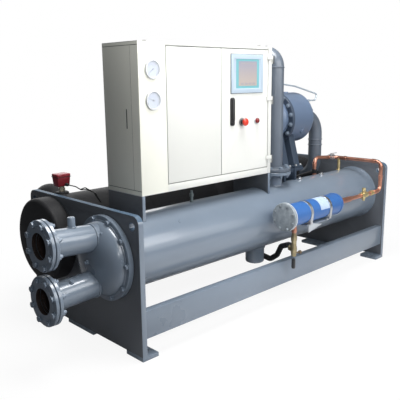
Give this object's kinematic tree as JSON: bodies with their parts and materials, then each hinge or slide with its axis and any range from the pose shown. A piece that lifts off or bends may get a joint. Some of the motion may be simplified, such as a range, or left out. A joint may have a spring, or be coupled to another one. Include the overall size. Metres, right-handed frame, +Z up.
{
  "type": "water-cooled screw chiller",
  "caption": "Packaged chiller: front condenser and insulated rear evaporator between end plates, screw compressor, pipework and an electrical cabinet with a hinged door.",
  "frame": {"origin": "on the floor, at the centre of the rectangle of the four corner anchor holes", "axes": "+X along the shells to the right-hand end plate, +Y from the condenser to the evaporator, +Z up"},
  "size_m": [2.878, 1.443, 1.5919],
  "materials": {
    "frame_paint": "blue grey machine enamel, satin",
    "gasket_black": "black sheet gasket",
    "insulation": "black closed cell foam",
    "cabinet_white": "warm white powder coat",
    "galvanised": "zinc plated steel",
    "display_frame": "pale blue grey plastic with a dark glass",
    "black_plastic": "black moulded plastic",
    "red_button": "red moulded plastic",
    "lamp_red": "dark red lens",
    "gauge_face": "bright rim and white dial",
    "switch_red": "dark red plastic cap",
    "drier_blue": "blue enamel",
    "drier_cap_paint": "olive grey enamel",
    "copper": "drawn copper tube",
    "brass": "machined brass",
    "steel_tube": "bright steel tube"
  },
  "bodies": {
    "root": {"end_plate_left": "frame_paint", "end_plate_right": "frame_paint", "feet_left": "frame_paint", "feet_right": "frame_paint", "rail_front": "frame_paint", "rail_back": "frame_paint", "condenser_shell": "frame_paint", "condenser_sump": "frame_paint", "water_box_left": "frame_paint", "water_box_right": "frame_paint", "water_pipe_upper": "frame_paint", "water_pipe_lower": "frame_paint", "counter_flanges": "frame_paint", "chilled_flanges": "frame_paint", "cabinet_saddles": "frame_paint", "compressor_motor": "frame_paint", "compressor_rotor_housing": "frame_paint", "compressor_beams": "frame_paint", "compressor_feet": "frame_paint", "discharge_pipe": "frame_paint", "suction_pipe": "frame_paint", "drier_bracket": "frame_paint", "gaskets": "gasket_black", "evaporator_shell": "insulation", "evaporator_heads": "insulation", "chilled_pipe_left": "insulation", "chilled_pipe_right": "insulation", "insulated_line": "insulation", "cabinet_base": "cabinet_white", "cabinet_top": "cabinet_white", "cabinet_back": "cabinet_white", "cabinet_side_left": "cabinet_white", "cabinet_side_right": "cabinet_white", "cabinet_frame": "cabinet_white", "cover_panel": "cabinet_white", "mounting_plate": "galvanised", "drier_straps": "galvanised", "line_valve": "galvanised", "pressure_gauges": "gauge_face", "flow_switch": "switch_red", "drier_shell": "drier_blue", "drier_cap": "drier_cap_paint", "liquid_line": "copper", "brass_valves": "brass", "equalizing_tube": "steel_tube"},
    "door_leaf": {"door": "cabinet_white", "display": "display_frame", "door_handle": "black_plastic", "stop_button": "red_button", "signal_lamp": "lamp_red"}
  },
  "joints": [
    {"name": "door_hinge", "type": "hinge", "parent": "root", "child": "door_leaf", "pos_m": [0.007, -0.364, 1.2], "axis": [0, 0, 1], "range_deg": [0, 110]}
  ]
}
